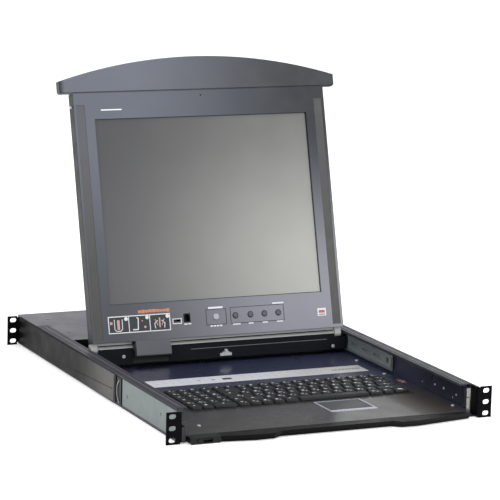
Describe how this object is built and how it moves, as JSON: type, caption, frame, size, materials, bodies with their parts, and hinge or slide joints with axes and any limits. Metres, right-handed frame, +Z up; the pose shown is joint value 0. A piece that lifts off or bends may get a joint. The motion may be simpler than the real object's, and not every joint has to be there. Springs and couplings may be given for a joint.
{
  "type": "rack console kvm switch",
  "caption": "One-unit rack drawer with a fold-up flat display, keyboard, touchpad and a switch housing behind, on two independent slides.",
  "frame": {"origin": "centre of the front rack ears' slot pattern, on their front face", "axes": "+X to the right seen from the front, +Y from the front to the rear of the rack, +Z up"},
  "size_m": [0.4826, 0.659, 0.4479],
  "materials": {
    "chassis_paint": "satin grey paint",
    "black_steel": "satin black powder coat",
    "zinc_steel": "zinc plated",
    "tray_steel": "black paint",
    "deck_plastic": "blue-black, glossy",
    "lip_plastic": "moulded black",
    "black_plastic": "moulded black",
    "key_plastic": "fine texture",
    "button_plastic": "satin",
    "touchpad_surface": "fine grain",
    "bright_trim": "bright",
    "label_foil": "printed foil",
    "slate_paint": "slate blue paint",
    "slate_plastic": "slate blue, painted",
    "strip_plastic": "olive grey",
    "screen": "anti-glare",
    "hinge_steel": "brushed",
    "screw_steel": "plated",
    "connector_metal": "tinned shells",
    "circuit_board": "solder mask",
    "supply_case": "folded sheet"
  },
  "bodies": {
    "chassis": {"base_pan": "chassis_paint", "rear_cover": "chassis_paint", "rear_panel": "chassis_paint", "front_ears": "black_steel", "side_channels": "chassis_paint", "lcd_rail_channels": "black_steel", "side_plates": "zinc_steel", "tray_outer_members": "zinc_steel", "bracket_retainers": "black_plastic", "retainer_springs": "screw_steel", "main_board": "circuit_board", "power_supply": "supply_case", "rear_ports": "connector_metal", "power_inlet": "black_plastic", "chassis_screws": "screw_steel"},
    "bracket_left": {"rear_bracket_left": "black_steel"},
    "bracket_right": {"rear_bracket_right": "black_steel"},
    "mains_rocker": {"power_switch": "black_plastic"},
    "tray": {"tray_pan": "tray_steel", "tray_deck": "deck_plastic", "front_lip": "lip_plastic", "keyboard_frame": "lip_plastic", "keyboard_board": "circuit_board", "touchpad": "touchpad_surface", "touchpad_rim": "bright_trim", "label_strip": "label_foil", "mouse_port_housing": "black_plastic", "mouse_socket": "black_plastic", "tray_inner_members": "zinc_steel", "tray_screws": "screw_steel"},
    "tray_slide_middle": {"tray_middle_members": "zinc_steel"},
    "carriage": {"carriage_frame": "black_steel", "hinge_bars": "hinge_steel", "hinge_pin": "hinge_steel", "lcd_inner_members": "zinc_steel", "lid_catch_and_screws": "screw_steel"},
    "lcd_slide_middle": {"lcd_middle_members": "zinc_steel"},
    "display": {"lcd_bezel": "slate_paint", "lcd_back_cover": "slate_paint", "lcd_panel": "screen", "control_board": "circuit_board", "lcd_side_rails": "strip_plastic", "lcd_handle": "slate_plastic", "hinge_tab": "slate_plastic", "hinge_knuckles": "hinge_steel", "console_jack": "black_plastic"},
    "touchpad_left_button": {"touchpad_button_left": "button_plastic"},
    "touchpad_right_button": {"touchpad_button_right": "button_plastic"},
    "big_button_body": {"big_button": "button_plastic"},
    "slide_switch_body": {"slide_switch": "black_plastic"},
    "bottom_key_row": {"keys_bottom_row": "key_plastic"},
    "lower_key_row": {"keys_lower_row": "key_plastic"},
    "home_key_row": {"keys_home_row": "key_plastic"},
    "upper_key_row": {"keys_upper_row": "key_plastic"},
    "number_key_row": {"keys_number_row": "key_plastic"},
    "function_key_row": {"keys_function_row": "key_plastic"},
    "menu_button_1_body": {"menu_button_1": "button_plastic"},
    "menu_button_2_body": {"menu_button_2": "button_plastic"},
    "menu_button_3_body": {"menu_button_3": "button_plastic"},
    "menu_button_4_body": {"menu_button_4": "button_plastic"}
  },
  "joints": [
    {"name": "tray_slide", "type": "slide", "parent": "chassis", "child": "tray", "axis": [0, -1, 0], "range_m": [0, 0.4]},
    {"name": "tray_middle_slide", "type": "slide", "parent": "chassis", "child": "tray_slide_middle", "axis": [0, -1, 0], "range_m": [0, 0.2]},
    {"name": "display_slide", "type": "slide", "parent": "chassis", "child": "carriage", "axis": [0, -1, 0], "range_m": [0, 0.39]},
    {"name": "display_middle_slide", "type": "slide", "parent": "chassis", "child": "lcd_slide_middle", "axis": [0, -1, 0], "range_m": [0, 0.195]},
    {"name": "display_hinge", "type": "hinge", "parent": "carriage", "child": "display", "pos_m": [0, 0.3875, 0.0172], "axis": [1, 0, 0], "range_deg": [0, 105.5]},
    {"name": "left_bracket_slide", "type": "slide", "parent": "chassis", "child": "bracket_left", "axis": [0, 1, 0], "range_m": [0, 0.2]},
    {"name": "right_bracket_slide", "type": "slide", "parent": "chassis", "child": "bracket_right", "axis": [0, 1, 0], "range_m": [0, 0.2]},
    {"name": "mains_rocker_hinge", "type": "hinge", "parent": "chassis", "child": "mains_rocker", "pos_m": [0.146, 0.6305, 0], "axis": [-1, 0, 0], "range_deg": [0, 16]},
    {"name": "keys_bottom_row_press", "type": "slide", "parent": "tray", "child": "bottom_key_row", "axis": [0, 0, -1], "range_m": [0, 0.002], "stiffness_N_per_m": 2500, "springref_m": -0.0008},
    {"name": "keys_lower_row_press", "type": "slide", "parent": "tray", "child": "lower_key_row", "axis": [0, 0, -1], "range_m": [0, 0.002], "stiffness_N_per_m": 2500, "springref_m": -0.0008},
    {"name": "keys_home_row_press", "type": "slide", "parent": "tray", "child": "home_key_row", "axis": [0, 0, -1], "range_m": [0, 0.002], "stiffness_N_per_m": 2500, "springref_m": -0.0008},
    {"name": "keys_upper_row_press", "type": "slide", "parent": "tray", "child": "upper_key_row", "axis": [0, 0, -1], "range_m": [0, 0.002], "stiffness_N_per_m": 2500, "springref_m": -0.0008},
    {"name": "keys_number_row_press", "type": "slide", "parent": "tray", "child": "number_key_row", "axis": [0, 0, -1], "range_m": [0, 0.002], "stiffness_N_per_m": 2500, "springref_m": -0.0008},
    {"name": "keys_function_row_press", "type": "slide", "parent": "tray", "child": "function_key_row", "axis": [0, 0, -1], "range_m": [0, 0.002], "stiffness_N_per_m": 2500, "springref_m": -0.0008},
    {"name": "touchpad_button_left_press", "type": "slide", "parent": "tray", "child": "touchpad_left_button", "axis": [0, 0, -1], "range_m": [0, 0.0008], "stiffness_N_per_m": 800, "springref_m": -0.0004},
    {"name": "touchpad_button_right_press", "type": "slide", "parent": "tray", "child": "touchpad_right_button", "axis": [0, 0, -1], "range_m": [0, 0.0008], "stiffness_N_per_m": 800, "springref_m": -0.0004},
    {"name": "big_button_press", "type": "slide", "parent": "display", "child": "big_button_body", "axis": [0, 0.9636, -0.2672], "range_m": [0, 0.0008], "stiffness_N_per_m": 900, "springref_m": -0.0004},
    {"name": "menu_button_1_press", "type": "slide", "parent": "display", "child": "menu_button_1_body", "axis": [0, 0.9636, -0.2672], "range_m": [0, 0.0008], "stiffness_N_per_m": 900, "springref_m": -0.0004},
    {"name": "menu_button_2_press", "type": "slide", "parent": "display", "child": "menu_button_2_body", "axis": [0, 0.9636, -0.2672], "range_m": [0, 0.0008], "stiffness_N_per_m": 900, "springref_m": -0.0004},
    {"name": "menu_button_3_press", "type": "slide", "parent": "display", "child": "menu_button_3_body", "axis": [0, 0.9636, -0.2672], "range_m": [0, 0.0008], "stiffness_N_per_m": 900, "springref_m": -0.0004},
    {"name": "menu_button_4_press", "type": "slide", "parent": "display", "child": "menu_button_4_body", "axis": [0, 0.9636, -0.2672], "range_m": [0, 0.0008], "stiffness_N_per_m": 900, "springref_m": -0.0004},
    {"name": "slide_switch_travel", "type": "slide", "parent": "display", "child": "slide_switch_body", "axis": [1, 0, 0], "range_m": [0, 0.006]}
  ],
  "couplings": [
    {"joint": "tray_middle_slide", "follows": "tray_slide", "ratio": 0.5},
    {"joint": "display_middle_slide", "follows": "display_slide", "ratio": 0.5}
  ]
}
